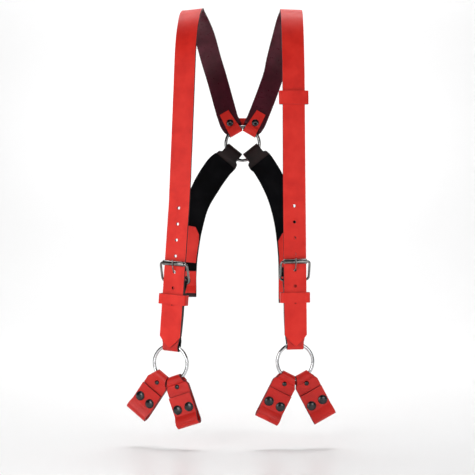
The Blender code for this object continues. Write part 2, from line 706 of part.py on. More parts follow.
def chape(name, frame):
    """The strip that goes round the buckle's heel bar and, folded, round the front ring."""
    bar_fold = WIRE_RADIUS + GAP + CHAPE_LEATHER / 2
    over_bar = arc(HEEL.y, HEEL.z, bar_fold, 180, 0, 8)
    narrow = FRONT_RING.z + CHAPE_TAPER_ABOVE_RING
    closed = FRONT_RING.z + CHAPE_CLOSED_ABOVE_RING
    under = ring_fold(FRONT_RING_RADIUS, CHAPE_RING_HALF, 0, RING_PLANE, CHAPE_LEATHER, 1)
    under = [(y, z + FRONT_RING.z) for y, z in under]
    butt = -CHAPE_BUTT_BELOW_HOLE
    back_top = (HEEL.y + bar_fold, HEEL.z - CHAPE_ROUND_BAR)
    join = (CHAPE_BACK, HEEL.z - CHAPE_CLOSED_BELOW_HEEL)
    path = [(CHAPE_BACK, butt - GAP)]
    path += [(CHAPE_BACK, closed)]
    path += ease(path[-1], under[-1]) + under[::-1]
    path += [(CHAPE_FRONT, closed), (CHAPE_FRONT, butt), (CHAPE_FRONT, join[1])]
    path += over_bar + [back_top] + ease(back_top, join) + [join, (CHAPE_BACK, butt)]

    def half_width(z):
        part = min(1.0, max(0.0, (narrow + CHAPE_TAPER / 2 - z) / CHAPE_TAPER))
        return STRAP_WIDTH / 2 + (CHAPE_RING_HALF - STRAP_WIDTH / 2) * part

    obj = strip(f"{name}_chape", section(path, half_width), CHAPE_LEATHER, RED, frame)
    slot = bpy.data.meshes.new(f"{name}_prong_slot")
    shape = bmesh.new()
    size = Matrix.Diagonal((SLOT_WIDTH, SLOT_DEPTH, SLOT_HEIGHT, 1))
    middle = Matrix.Translation(HEEL + Vector((0, 0, SLOT_ABOVE_HEEL)))
    bmesh.ops.create_cube(shape, size=1, matrix=middle @ size)
    shape.to_mesh(slot)
    shape.free()
    cut(obj, slot, frame)


def buckle(name, frame):
    """Frame, roller and prong, which turn about the heel bar."""
    body = pivot(f"{name}_buckle_pivot", frame @ Matrix.Translation(HEEL))
    rise = FRONT_BAR - HEEL
    length = rise.length
    slope = math.atan2(rise.y, rise.z)
    plane = frame @ Matrix.Translation(HEEL) @ Matrix.Rotation(-slope, 4, "X")
    half = BUCKLE_WIDTH / 2 - WIRE_RADIUS
    outline = [Vector((x, 0, z)) for x, z in rounded_outline(-half, half, 0, length, BUCKLE_CORNER, 4)]
    wire(f"{name}_buckle_frame", outline, WIRE_RADIUS, plane, NICKEL, body, cyclic=True)

    bar = frame @ Matrix.Translation(FRONT_BAR)
    roller_body = pivot(f"{name}_roller_pivot", bar, body)
    outlines = [circle_outline(ROLLER_RADIUS, 18), circle_outline(WIRE_RADIUS + GAP, 14)]
    outline_solid(f"{name}_buckle_roller", outlines, ROLLER_LENGTH,
                  bar @ Matrix.Rotation(math.radians(90), 4, "Y"), NICKEL, roller_body)

    prong_body = pivot(f"{name}_prong_pivot", frame @ Matrix.Translation(HEEL), body)
    eye = WIRE_RADIUS + GAP + PRONG_RADIUS
    back = HEEL.y - PRONG_INSET
    front = -(LEATHER / 2 + PRONG_FRONT)
    rest = FRONT_BAR.y - ROLLER_RADIUS - GAP - PRONG_RADIUS - PRONG_SLACK
    path = arc(HEEL.y, HEEL.z, eye, -150, 90, 8)
    path += [(back, HEEL.z + eye + PRONG_RISE), (back, -PRONG_RADIUS), (back - PRONG_BEND, 0)]
    path += [(front, 0), (front - PRONG_BEND, PRONG_RADIUS), (rest, FRONT_BAR.z - PRONG_RADIUS)]
    path += [(rest, FRONT_BAR.z + PRONG_RADIUS), (rest + PRONG_SLACK, FRONT_BAR.z + PRONG_TIP_PAST_BAR)]
    points = [Vector((0, y, z)) for y, z in path]
    wire(f"{name}_buckle_prong", points, PRONG_RADIUS, frame, NICKEL, prong_body)


def keeper(name, frame, height, middle_z, front_y, back_y):
    """A leather band round the strap: its hollow runs from front_y to back_y."""
    body = pivot(f"{name}_pivot", frame @ Matrix.Translation((0, 0, middle_z)))
    half = STRAP_WIDTH / 2 + KEEPER_SIDE_ROOM
    front, back = front_y - KEEPER_FACE_ROOM, back_y + KEEPER_FACE_ROOM
    thick = KEEPER_LEATHER
    outer = rounded_outline(-half - thick, half + thick, front - thick, back + thick,
                            KEEPER_CORNER + thick / 2)
    inner = rounded_outline(-half, half, front, back, KEEPER_CORNER)
    outline_solid(name, [outer, inner], height, frame @ Matrix.Translation((0, 0, middle_z)), RED, body)


def front_ring(name, frame):
    body = pivot(f"{name}_front_ring_pivot", frame @ Matrix.Translation(FRONT_RING_TOP))
    centre = frame @ Matrix.Translation(FRONT_RING)
    ring(f"{name}_front_ring", FRONT_RING_RADIUS, centre, body)
    return body, centre


def ring(name, radius, matrix, body):
    """A welded wire ring, whose axis is the matrix's Y."""
    bpy.ops.mesh.primitive_torus_add(major_segments=36, minor_segments=8, major_radius=radius,
                                     minor_radius=RING_WIRE)
    shape = bpy.context.object
    mesh = shape.data
    mesh.name = name
    bpy.data.objects.remove(shape, do_unlink=True)
    shade_round(mesh, 60)
    return add_object(name, mesh, matrix @ FACING_FRONT, CHROME, body)


def tab_fold():
    """The tab's fold round the front ring's wire, and how high its top lies from the ring's centre."""
    turn = ring_fold(FRONT_RING_RADIUS, TAB_FOLD_HALF + FOLD_SPREAD, 0, 0, LEATHER, -1)
    return turn, max(z for _, z in turn) + LEATHER / 2


def tab_spread():
    """How far each tab turns from straight down, so that the shoulders of a pair stay apart."""
    return math.atan(TAB_HALF / (TAB_SHOULDER - tab_fold()[1])) + TAB_APART


def tab(name, ring_body, ring_centre, tilt):
    """A button tab on a front ring: its strip, its belt loop's leaf, its rivet and its two snaps."""
    upright = ring_centre @ Matrix.Rotation(tilt, 4, "Y")
    wire_point = Vector((0, 0, -wire_middle(FRONT_RING_RADIUS, TAB_FOLD_HALF)))
    frame = hung(upright, wire_point, TAB_HANG)
    body = pivot(f"{name}_pivot", upright @ Matrix.Translation(wire_point), ring_body)

    layer = LEATHER / 2 + GAP / 2
    turn, top = tab_fold()
    bottom = top - TAB_LENGTH
    joined = turn[0][1] - TAB_FOLD_DRAW
    butt = top - TAB_BUTT_FROM_TOP
    fold, hinge, leaf = loop_foot(layer, bottom, butt - GAP, LEATHER)
    path = [(-layer, butt), (-layer, joined)] + ease((-layer, joined), turn[0]) + turn
    path += ease(turn[-1], (layer, joined)) + [(layer, joined)] + fold

    def half_width(z):
        return min(TAB_HALF, TAB_FOLD_HALF + (TAB_HALF - TAB_FOLD_HALF) * max(0.0, top - z) / TAB_SHOULDER)

    shoulder = (layer, top - TAB_SHOULDER)
    path.insert(len(path) - len(fold), shoulder)
    path.insert(1, (-layer, shoulder[1]))
    strap = strip(name, section(path, half_width), LEATHER, RED, frame, body)
    snap_z = bottom + TAB_SNAP_ABOVE_BOTTOM
    snaps = {"left": -TAB_SNAP_SPACING / 2, "right": TAB_SNAP_SPACING / 2}
    rivet_z = joined - TAB_RIVET_HEAD - TAB_RIVET_ROOM
    drill(strap, frame, [(0, rivet_z)], POST_RADIUS + GAP)
    drill(strap, frame, [(x, snap_z) for x in snaps.values()], POST_RADIUS + GAP)
    reach = layer + LEATHER / 2 + GAP
    rivet(f"{name}_rivet", frame @ Matrix.Translation((0, 0, rivet_z)), TAB_RIVET_HEAD, reach, -reach, body)

    flap_body = pivot(f"{name}_flap_pivot", frame @ Matrix.Translation((0, hinge[0], hinge[1])), body)
    flap = strip(f"{name}_flap", section(leaf, half_width), LEATHER, RED, frame, flap_body)
    leaf_y = layer - LEAF_OFFSET
    flap_frame = frame @ Matrix.Translation((0, leaf_y, 0))
    drill(flap, flap_frame, [(x, snap_z) for x in snaps.values()], POST_RADIUS + GAP)
    for which, x in snaps.items():
        snap_cap(f"{name}_{which}_cap", frame @ Matrix.Translation((x, leaf_y, snap_z)), flap_body)
        snap_stud(f"{name}_{which}_stud", frame @ Matrix.Translation((x, layer, snap_z)), body)


# ---------------------------------------------------------------- the object

ring_pivot = pivot("back_ring_pivot", Matrix.Translation(BACK_RING))
ring("back_ring", BACK_RING_RADIUS, Matrix.Translation(BACK_RING), ring_pivot)
yoke_and_rivets()
for side_name, side_values in SIDES.items():
    strap_frame = front_frame(side_values)
    shoulder_strap(f"{side_name}_shoulder_strap", side_values)
    rear_strap(side_name, side_values)
    chape(side_name, strap_frame)
    buckle(side_name, strap_frame)
    keeper(f"{side_name}_buckle_keeper", strap_frame, BUCKLE_KEEPER_HEIGHT, -BUCKLE_KEEPER_BELOW_HOLE,
           -LEATHER / 2, CHAPE_BACK + CHAPE_LEATHER / 2)
    swing, centre_frame = front_ring(side_name, strap_frame)
    for which_tab, outwards in (("outer", 1), ("inner", -1)):
        tilt = -side_values["sign"] * (outwards * tab_spread() + side_values["tab_lean"])
        tab(f"{side_name}_{which_tab}_tab", swing, centre_frame, tilt)
upper = SIDES["right"]
keeper("right_shoulder_keeper", shoulder_keeper_frame(upper), SHOULDER_KEEPER_HEIGHT, 0, -LEATHER / 2, LEATHER / 2)
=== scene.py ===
"""Looks of the leather suspenders: leather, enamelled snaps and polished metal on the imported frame."""

import json
import math

import bmesh
import bpy
import numpy as np
from mathutils import Matrix, Vector
from mathutils.bvhtree import BVHTree


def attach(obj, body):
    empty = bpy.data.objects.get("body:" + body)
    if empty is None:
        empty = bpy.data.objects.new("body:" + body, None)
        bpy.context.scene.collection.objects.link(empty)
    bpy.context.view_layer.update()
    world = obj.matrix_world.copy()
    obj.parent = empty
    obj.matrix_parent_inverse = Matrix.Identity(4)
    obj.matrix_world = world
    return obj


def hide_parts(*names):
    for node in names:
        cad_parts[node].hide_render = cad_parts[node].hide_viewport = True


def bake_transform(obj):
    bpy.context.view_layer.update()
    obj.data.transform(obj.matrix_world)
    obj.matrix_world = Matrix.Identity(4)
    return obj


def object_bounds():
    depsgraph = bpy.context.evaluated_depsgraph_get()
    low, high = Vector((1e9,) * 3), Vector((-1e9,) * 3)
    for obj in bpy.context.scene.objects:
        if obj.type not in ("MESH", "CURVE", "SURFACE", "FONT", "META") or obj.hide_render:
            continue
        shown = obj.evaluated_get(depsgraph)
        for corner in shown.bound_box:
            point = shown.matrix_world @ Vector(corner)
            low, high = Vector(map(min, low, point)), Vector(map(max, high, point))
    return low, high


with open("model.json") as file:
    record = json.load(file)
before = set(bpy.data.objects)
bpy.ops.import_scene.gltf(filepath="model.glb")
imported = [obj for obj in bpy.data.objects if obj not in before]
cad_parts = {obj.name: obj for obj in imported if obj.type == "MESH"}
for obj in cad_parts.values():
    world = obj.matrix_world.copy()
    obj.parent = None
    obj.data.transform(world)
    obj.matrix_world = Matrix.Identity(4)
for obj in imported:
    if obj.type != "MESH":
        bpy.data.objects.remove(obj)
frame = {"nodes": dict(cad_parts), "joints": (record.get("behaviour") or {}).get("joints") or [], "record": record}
CAD_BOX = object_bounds()

MM = 0.001
LEATHER = 3.0 * MM
CHAPE_LEATHER = 2.5 * MM
LINING = 1.2 * MM

# A face is a cut edge where the leather behind it is deeper than this many thicknesses
EDGE_DEPTH = 3
CORNER = math.radians(50)
FOLD_KINK = math.radians(75)
SHARP = math.radians(35)
WELD = 0.01 * MM
# How near a hinge a leaf and its fold are one piece of leather, and how far they reach across
FOLD_NEAR = 0.4 * MM
FOLD_REACH = 25 * MM
# Where a leaf is cut across so that it can bend, above its hinge, and where its bend ends
LEAF_CUTS = (1 * MM, 2 * MM, 3 * MM, 4.5 * MM)
# A point well up the leaf, on the side that faces outward
LEAF_SEED = 40 * MM
# The sides of a leather piece, as numbers of its materials
GRAIN, FLESH, CUT = 0, 1, 2

# The radius of a ring's visual wire is this much under the CAD wire's. It clears the folds round it at the
# record's swing limits, and hasn't been tried beyond them
RING_TRIM = 0.1 * MM
WIRE_LEVELS = 2

# Snaps and rivets. A CAD corner this near a height or a radius lies on it
AT_END = 0.1 * MM
AT_CAP = 0.2 * MM
AT_RIM = 0.15 * MM
POST = 1.5 * MM
FLANGE = 4.2 * MM
DOME_STEPS = 9
DIMPLE_DEPTH = 0.45
DIMPLE_WIDTH = 0.33
TURNED_SHARP = math.radians(32)

# Camera: the place from which it looks level along +Y, and its lens
CAMERA_PLACE = (0, -2.1, -0.366)
SENSOR = 36
LENS = 97.2

# Studio: a floor that curves up into a wall behind the object
FLOOR_DROP = 0.03
FLOOR_FRONT = -3.5
FLOOR_HALF = 5
COVE_FROM = 2.0
COVE_RADIUS = 1.2
COVE_STEPS = 12
WALL_HEIGHT = 4.5
# Each lamp's name, place, target, size and power
LAMPS = (
    ("key", (-0.6, -1.1, -0.3), (0, 0, -0.35), 0.6, 6.0),
    ("fill", (0.9, -1.4, -0.3), (0, 0, -0.35), 0.6, 4.5),
    ("low", (-0.3, -0.6, -0.66), (-0.05, 0.08, -0.08), 0.22, 0.35),
    ("top", (0, -0.3, 1.5), (0, 0, -0.35), 1.0, 3),
    ("back", (0, 1.0, 2.6), (0, 3.2, 0), 2.4, 120),
)

SIDES = ("left", "right")
TABS = ("outer_tab", "inner_tab")
DOWN = Vector((0, 0, -1))
FRONT = Vector((0, -1, 0))
BACK = Vector((0, 1, 0))


# ---------------------------------------------------------------- reading the frame

def node_points(name):
    """A CAD node's corners at rest, as an array."""
    return np.array([vertex.co for vertex in frame["nodes"][name].data.vertices])


def middle(name):
    return Vector(node_points(name).mean(axis=0))


def body_of(name):
    for body, nodes in frame["record"]["behaviour"]["bodies"].items():
        if name in nodes:
            return body
    raise KeyError(name)


def joint(name):
    for entry in frame["joints"]:
        if entry["name"] == name:
            return entry
    raise KeyError(name)


# ---------------------------------------------------------------- materials

def shader_material(name, roughness, metallic=0.0, **values):
    """A Principled material, with its node tree, its shader and its object coordinates."""
    material = bpy.data.materials.new(name)
    material.use_nodes = True
    tree = material.node_tree
    shader = tree.nodes["Principled BSDF"]
    shader.inputs["Roughness"].default_value = roughness
    shader.inputs["Metallic"].default_value = metallic
    for key, value in values.items():
        shader.inputs[key.replace("_", " ")].default_value = value
    where = tree.nodes.new("ShaderNodeTexCoord")
    return material, tree, shader, where.outputs["Object"]


def noise(tree, where, scale, detail=3.0, roughness=0.55):
    node = tree.nodes.new("ShaderNodeTexNoise")
    node.inputs["Scale"].default_value = scale
    node.inputs["Detail"].default_value = detail
    node.inputs["Roughness"].default_value = roughness
    tree.links.new(where, node.inputs["Vector"])
    return node.outputs["Fac"]


def cells(tree, where, scale):
    node = tree.nodes.new("ShaderNodeTexVoronoi")
    node.inputs["Scale"].default_value = scale
    tree.links.new(where, node.inputs["Vector"])
    return node.outputs["Distance"]


def ramp(tree, value, stops):
    """A colour ramp; stops are (position, (r, g, b))."""
    node = tree.nodes.new("ShaderNodeValToRGB")
    elements = node.color_ramp.elements
    while len(elements) < len(stops):
        elements.new(0.5)
    for element, (position, colour) in zip(elements, stops):
        element.position = position
        element.color = (*colour, 1)
    tree.links.new(value, node.inputs["Fac"])
    return node.outputs["Color"]


def span(tree, value, low, high):
    node = tree.nodes.new("ShaderNodeMapRange")
    node.inputs["To Min"].default_value = low
    node.inputs["To Max"].default_value = high
    tree.links.new(value, node.inputs["Value"])
    return node.outputs["Result"]


def bump(tree, shader, layers):
    """Chains bumps; layers are (height, strength, distance in metres)."""
    normal = None
    for height, strength, distance in layers:
        node = tree.nodes.new("ShaderNodeBump")
        node.inputs["Strength"].default_value = strength
        node.inputs["Distance"].default_value = distance
        tree.links.new(height, node.inputs["Height"])
        if normal is not None:
            tree.links.new(normal, node.inputs["Normal"])
        normal = node.outputs["Normal"]
    tree.links.new(normal, shader.inputs["Normal"])


def leather(name, dark, base, light, roughness, grain=0.25, coat=0.0, shine=0.25):
    """Leather with mottled dye, fine pebble grain, pores and faint creases."""
    material, tree, shader, where = shader_material(name, roughness, Coat_Weight=coat, Coat_Roughness=0.35,
                                                    Specular_IOR_Level=shine)
    mottle = noise(tree, where, 38, 4)
    dye = ramp(tree, mottle, [(0.28, dark), (0.5, base), (0.75, light)])
    tree.links.new(dye, shader.inputs["Base Color"])
    wear = noise(tree, where, 260, 3)
    tree.links.new(span(tree, wear, roughness - 0.09, roughness + 0.1), shader.inputs["Roughness"])
    bump(tree, shader, [(noise(tree, where, 60, 3), 0.25, 0.0012),
                        (cells(tree, where, 1100), grain, 0.00016),
                        (noise(tree, where, 3000, 2), grain * 0.7, 0.00008)])
    return material


def metal(name, colour, dull, roughness):
    """Polished metal with faint tarnish and fine scratches."""
    material, tree, shader, where = shader_material(name, roughness, metallic=1.0)
    tree.links.new(ramp(tree, noise(tree, where, 180, 4), [(0.3, dull), (0.62, colour)]),
                   shader.inputs["Base Color"])
    wear = noise(tree, where, 900, 3)
    tree.links.new(span(tree, wear, roughness * 0.6, roughness * 1.7), shader.inputs["Roughness"])
    bump(tree, shader, [(noise(tree, where, 2200, 2), 0.12, 0.00004)])
    return material


RED = leather("red_grain", (0.68, 0.016, 0.010), (0.78, 0.024, 0.015), (0.85, 0.034, 0.022), 0.46)
# A darker copy of the red grain, as painted shade: the tabs, their leaves and the chapes are darkened to stand for
# the shade they lie in
SHADED_RED = leather("red_grain_painted_shade", (0.50, 0.010, 0.007), (0.60, 0.014, 0.009), (0.68, 0.022, 0.014), 0.42,
                  shine=0.35)
RED_FLESH = leather("burgundy_flesh", (0.040, 0.003, 0.008), (0.062, 0.005, 0.013), (0.09, 0.010, 0.022),
                    0.30, grain=0.3, shine=0.3)
BLACK_FLESH = leather("black_flesh", (0.002, 0.002, 0.002), (0.003, 0.003, 0.003), (0.006, 0.006, 0.006), 0.8,
                      shine=0.08)
BLACK_LINING = leather("black_lining_suede", (0.002, 0.002, 0.002), (0.003, 0.003, 0.004),
                       (0.006, 0.006, 0.007), 0.9, grain=0.4, shine=0.08)
CUT_RED = leather("cut_edge", (0.12, 0.012, 0.014), (0.2, 0.022, 0.024), (0.3, 0.06, 0.065), 0.6, grain=0.5)
# The shoulder straps' cut edge, painted near black as painted shade: that edge lies in shadow
SHADED_STRAP_EDGE = leather("strap_edge_painted_shade", (0.015, 0.002, 0.003), (0.04, 0.004, 0.005), (0.10, 0.010, 0.012), 0.5)
# Black cut edge; on the rear straps it also paints the belt loop's fold black, as painted shade
BLACK_EDGE_AND_SHADE = leather("black_edge_and_painted_shade", (0.006, 0.003, 0.003), (0.012, 0.005, 0.005), (0.025, 0.008, 0.008), 0.5)
CHROME = metal("polished_chrome", (0.66, 0.66, 0.67), (0.5, 0.5, 0.51), 0.10)
DARK_CHROME = metal("dark_chrome", (0.30, 0.30, 0.30), (0.18, 0.18, 0.18), 0.14)
NICKEL = metal("dark_nickel_plate", (0.27, 0.262, 0.255), (0.13, 0.127, 0.124), 0.12)


def enamel():
    material, tree, shader, where = shader_material("black_enamel_gloss", 0.2, metallic=0.35, Coat_Weight=0.6,
                                                    Coat_Roughness=0.12)
    stops = [(0.35, (0.003, 0.003, 0.004)), (0.7, (0.008, 0.008, 0.01))]
    tree.links.new(ramp(tree, noise(tree, where, 420, 4), stops), shader.inputs["Base Color"])
    tree.links.new(span(tree, noise(tree, where, 1300, 3), 0.14, 0.34), shader.inputs["Roughness"])
    bump(tree, shader, [(noise(tree, where, 1800, 2), 0.1, 0.00005)])
    return material


ENAMEL = enamel()


# ---------------------------------------------------------------- leather pieces

def strip_sides(shape, thickness, kink):
    """Labels each face with a number for its side of the strip, or with 0 for a cut edge or a hole's wall."""
    tree = BVHTree.FromBMesh(shape)
    side_of = {}
    for face in shape.faces:
        inward = -face.normal
        start = face.calc_center_median() + inward * (0.02 * MM)
        depth = tree.ray_cast(start, inward)[3]
        if depth is None or depth > EDGE_DEPTH * thickness:
            side_of[face.index] = 0
    label = 0
    for first in shape.faces:
        if first.index in side_of:
            continue
        label += 1
        side_of[first.index] = label
        queue = [first]
        while queue:
            face = queue.pop()
            for edge in face.edges:
                if len(edge.link_faces) != 2 or edge.calc_face_angle() > kink:
                    continue
                for other in edge.link_faces:
                    if other.index not in side_of:
                        side_of[other.index] = label
                        queue.append(other)
    shape.faces.ensure_lookup_table()
    area = {}
    for index, here in side_of.items():
        if here:
            area[here] = area.get(here, 0) + shape.faces[index].calc_area()
    wide = sorted(area, key=area.get)[-2:]
    return {index: here if here in wide else 0 for index, here in side_of.items()}


def leather_piece(node, thickness, looks, seed, facing, round_edge=0.6 * MM, shift=None, grown=(),
                  kink=FOLD_KINK):
    """A CAD strip as finished leather: its grain side, flesh side and rounded cut edges.

    looks are the materials of the grain side, the flesh side and the cut edge. The grain side is the one
    whose face near the point seed looks most towards facing. Its end stays square near each point of grown,
    where the leather goes on into another piece.
    """
    shape = bmesh.new()
    shape.from_mesh(frame["nodes"][node].data)
    bmesh.ops.remove_doubles(shape, verts=shape.verts, dist=WELD)
    bmesh.ops.recalc_face_normals(shape, faces=shape.faces)
    shape.faces.ensure_lookup_table()
    shape.faces.index_update()
    side_of = strip_sides(shape, thickness, kink)
    main = [face for face in shape.faces if side_of[face.index] != 0]

    def merit(face):
        return face.normal.dot(facing) - (face.calc_center_median() - seed).length / (20 * MM)

    grain = side_of[max(main, key=merit).index]
    for face in shape.faces:
        label = side_of[face.index]
        face.material_index = CUT if label == 0 else (GRAIN if label == grain else FLESH)
        face.smooth = True
    if shift is not None:
        shift(shape)
    bmesh.ops.dissolve_limit(shape, angle_limit=math.radians(0.5), verts=shape.verts, edges=shape.edges,
                             delimit={"MATERIAL"})
    weight = shape.edges.layers.float.new("bevel_weight_edge")
    for edge in shape.edges:
        looks_here = {face.material_index for face in edge.link_faces}
        corner = len(edge.link_faces) == 2 and edge.calc_face_angle() > CORNER
        middles = edge.verts[0].co.lerp(edge.verts[1].co, 0.5)
        joined = any(abs((middles - point).dot(along)) < FOLD_NEAR and (middles - point).length < FOLD_REACH
                     for point, along in grown)
        edge[weight] = 1.0 if corner and CUT in looks_here and not joined else 0.0
    mesh = bpy.data.meshes.new(node + "_leather")
    shape.to_mesh(mesh)
    shape.free()
    for look in looks:
        mesh.materials.append(look)
    piece = bpy.data.objects.new(node + "_leather", mesh)
    bpy.context.scene.collection.objects.link(piece)
    bevel = piece.modifiers.new("rounded_edges", "BEVEL")
    bevel.limit_method = "WEIGHT"
    bevel.width = round_edge
    bevel.segments = 3
    bevel.material = CUT
    bevel.use_clamp_overlap = True
    apply_modifiers(piece)
    piece.data.shade_smooth()
    piece.data.set_sharp_from_angle(angle=SHARP)
    even = piece.modifiers.new("even_shading", "WEIGHTED_NORMAL")
    even.keep_sharp = True
    apply_modifiers(piece)
    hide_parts(node)
    return piece


def apply_modifiers(piece):
    bpy.context.view_layer.update()
    graph = bpy.context.evaluated_depsgraph_get()
    mesh = bpy.data.meshes.new_from_object(piece.evaluated_get(graph))
    piece.modifiers.clear()
    piece.data = mesh


def lowest(node):
    points = node_points(node)
    return Vector(points[points[:, 2].argmin()])


def riding_piece(node, thickness, looks, seed, facing, **settings):
    """A leather piece that moves as one with the body of its CAD node."""
    piece = leather_piece(node, thickness, looks, seed, facing, **settings)
    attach(piece, body_of(node))
    return piece


def straps():
    for side in SIDES:
        node = f"{side}_shoulder_strap"
        # The shoulder strap's cut edges take the near-black edge colour, painted shade
        riding_piece(node, LEATHER, (RED, RED_FLESH, SHADED_STRAP_EDGE), lowest(node), FRONT)
        rear_strap(side)
        node = f"{side}_rear_lining"
        riding_piece(node, LINING, (BLACK_LINING, BLACK_LINING, BLACK_EDGE_AND_SHADE), lowest(node), FRONT,
                     round_edge=0.3 * MM)
        node = f"{side}_rear_patch"
        riding_piece(node, CHAPE_LEATHER, (RED, BLACK_FLESH, CUT_RED), lowest(node), FRONT)
        node = f"{side}_chape"
        # The chape's grain is the darker red copy, painted shade
        riding_piece(node, CHAPE_LEATHER, (SHADED_RED, BLACK_FLESH, BLACK_EDGE_AND_SHADE), lowest(node), DOWN)
    riding_piece("back_yoke", CHAPE_LEATHER, (RED, RED, CUT_RED), middle("back_yoke"), BACK)
    for node in ("left_buckle_keeper", "right_buckle_keeper", "right_shoulder_keeper"):
        points = node_points(node)
        foremost = Vector(points[points[:, 1].argmin()])
        riding_piece(node, CHAPE_LEATHER, (RED, BLACK_FLESH, CUT_RED), foremost, FRONT)


def rear_strap(side):
    """The curved strap, with the fold of its belt loop painted in its black edge colour as painted shade."""
    node = f"{side}_rear_strap"
    hinge_foot, rise = hinge_line(f"{side}_rear_flap", f"{side}_rear_flap_open")
    piece = riding_piece(node, LEATHER, (RED, BLACK_FLESH, BLACK_EDGE_AND_SHADE), lowest(node), DOWN,
                         grown=((hinge_foot, rise),))
    # Painted shade: the fold of the belt loop, below the hinge, takes the black cut-edge material to stand for the
    # shade at the bottom of the loop
    for face in piece.data.polygons:
        if face.center.z < hinge_foot.z:
            face.material_index = CUT


def tabs():
    for side in SIDES:
        for tab in TABS:
            node = f"{side}_{tab}"
            grown = (hinge_line(f"{node}_flap", f"{node}_flap_open"),)
            # The tabs and their leaves take the darker red copy, painted shade
            riding_piece(node, LEATHER, (SHADED_RED, BLACK_FLESH, CUT_RED), lowest(node), DOWN, grown=grown,
                         kink=math.pi)
            leaf(f"{node}_flap", f"{node}_flap_open", SHADED_RED)
        leaf(f"{side}_rear_flap", f"{side}_rear_flap_open", RED)


def leaf(node, joint_name, look):
    """A belt loop's leaf, carried down to the fold that it grows out of, so the leather bends there."""
    hinge = joint(joint_name)
    foot, rise = hinge_line(node, joint_name)
    forward = rise.cross(Vector(hinge["axis"]))

    def reach_fold(shape):
        for vertex in shape.verts:
            place = vertex.co - foot
            if abs(place.dot(forward)) < LEATHER and place.dot(rise) < LEATHER:
                depth = math.copysign(LEATHER / 2, place.dot(forward))
                vertex.co -= rise * place.dot(rise) + forward * (place.dot(forward) - depth)
        for height in LEAF_CUTS:
            bmesh.ops.bisect_plane(shape, geom=shape.verts[:] + shape.edges[:] + shape.faces[:],
                                   plane_co=foot + rise * height, plane_no=rise)

    seed = foot + rise * LEAF_SEED
    piece = leather_piece(node, LEATHER, (look, BLACK_FLESH, CUT_RED), seed, -forward, shift=reach_fold,
                          grown=((foot, rise),))
    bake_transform(piece)


def hinge_line(node, joint_name):
    """Where a leaf leaves its fold, and the direction in which it rises there."""
    hinge = joint(joint_name)
    foot = Vector(hinge["pos_m"])
    return foot, leaf_direction(node, foot, Vector(hinge["axis"]))


def leaf_direction(node, foot, axis):
    """The direction in which the leaf rises from its hinge: towards the middle of its own lower end."""
    points = node_points(node) - np.array(foot)
    points -= np.outer(points @ np.array(axis), np.array(axis))
    reach = np.linalg.norm(points, axis=1)
    return Vector(points[reach < LEATHER].mean(axis=0)).normalized()


# ---------------------------------------------------------------- metal pieces

def turned(name, profile, origin, axis, look, steps=40):
    """A turned piece: profile (radius, height) from its top to its foot, heights along axis from origin."""
    mesh = bpy.data.meshes.new(name)
    shape = bmesh.new()
    corners = [shape.verts.new((radius, 0, height)) for radius, height in profile]
    edges = [shape.edges.new(pair) for pair in zip(corners, corners[1:])]
    bmesh.ops.spin(shape, geom=corners + edges, cent=(0, 0, 0), axis=(0, 0, 1), angle=math.tau, steps=steps,
                   use_duplicate=False)
    bmesh.ops.remove_doubles(shape, verts=shape.verts, dist=0.002 * MM)
    bmesh.ops.recalc_face_normals(shape, faces=shape.faces)
    shape.to_mesh(mesh)
    shape.free()
    mesh.materials.append(look)
    mesh.shade_smooth()
    mesh.set_sharp_from_angle(angle=TURNED_SHARP)
    piece = bpy.data.objects.new(name, mesh)
    bpy.context.scene.collection.objects.link(piece)
    turn = Vector((0, 0, 1)).rotation_difference(axis).to_matrix().to_4x4()
    piece.matrix_world = Matrix.Translation(origin) @ turn
    bpy.context.view_layer.update()
    return piece


def profile_of(node, origin, axis):
    """The height along the axis, and the distance from it, of each corner of the CAD solid."""
    rel = node_points(node) - np.array(origin)
    heights = rel @ np.array(axis)
    radii = np.linalg.norm(rel - np.outer(heights, np.array(axis)), axis=1)
    return heights, radii


def rounded(points, radius, steps=4):
    """The profile with its corners rounded off, each by at most the radius."""
    result = [points[0]]
    for before, corner, after in zip(points, points[1:], points[2:]):
        here, back, on = Vector(corner), Vector(before), Vector(after)
        room = min(radius, (back - here).length * 0.45, (on - here).length * 0.45)
        start = here + (back - here).normalized() * room
        end = here + (on - here).normalized() * room
        for step in range(steps + 1):
            t = step / steps
            place = start * (1 - t) ** 2 + here * 2 * t * (1 - t) + end * t ** 2
            result.append((max(0.0, place.x), place.y))
    result.append(points[-1])
    return result


def snaps_and_rivets():
    for side in SIDES:
        pairs = [(f"{side}_rear_snap_cap", f"{side}_rear_snap_stud")]
        for tab in TABS:
            for which in SIDES:
                pairs.append((f"{side}_{tab}_{which}_cap", f"{side}_{tab}_{which}_stud"))
        for cap, stud in pairs:
            axis = (middle(cap) - middle(stud)).normalized()
            snap_cap(cap, axis)
            snap_stud(stud, axis)
        for tab in TABS:
            cap = f"{side}_{tab}_left_cap"
            axis = (middle(cap) - middle(f"{side}_{tab}_left_stud")).normalized()
            rivet(f"{side}_{tab}_rivet", axis, dimple=False)
        rivet(f"{side}_back_rivet", FRONT, dimple=True)


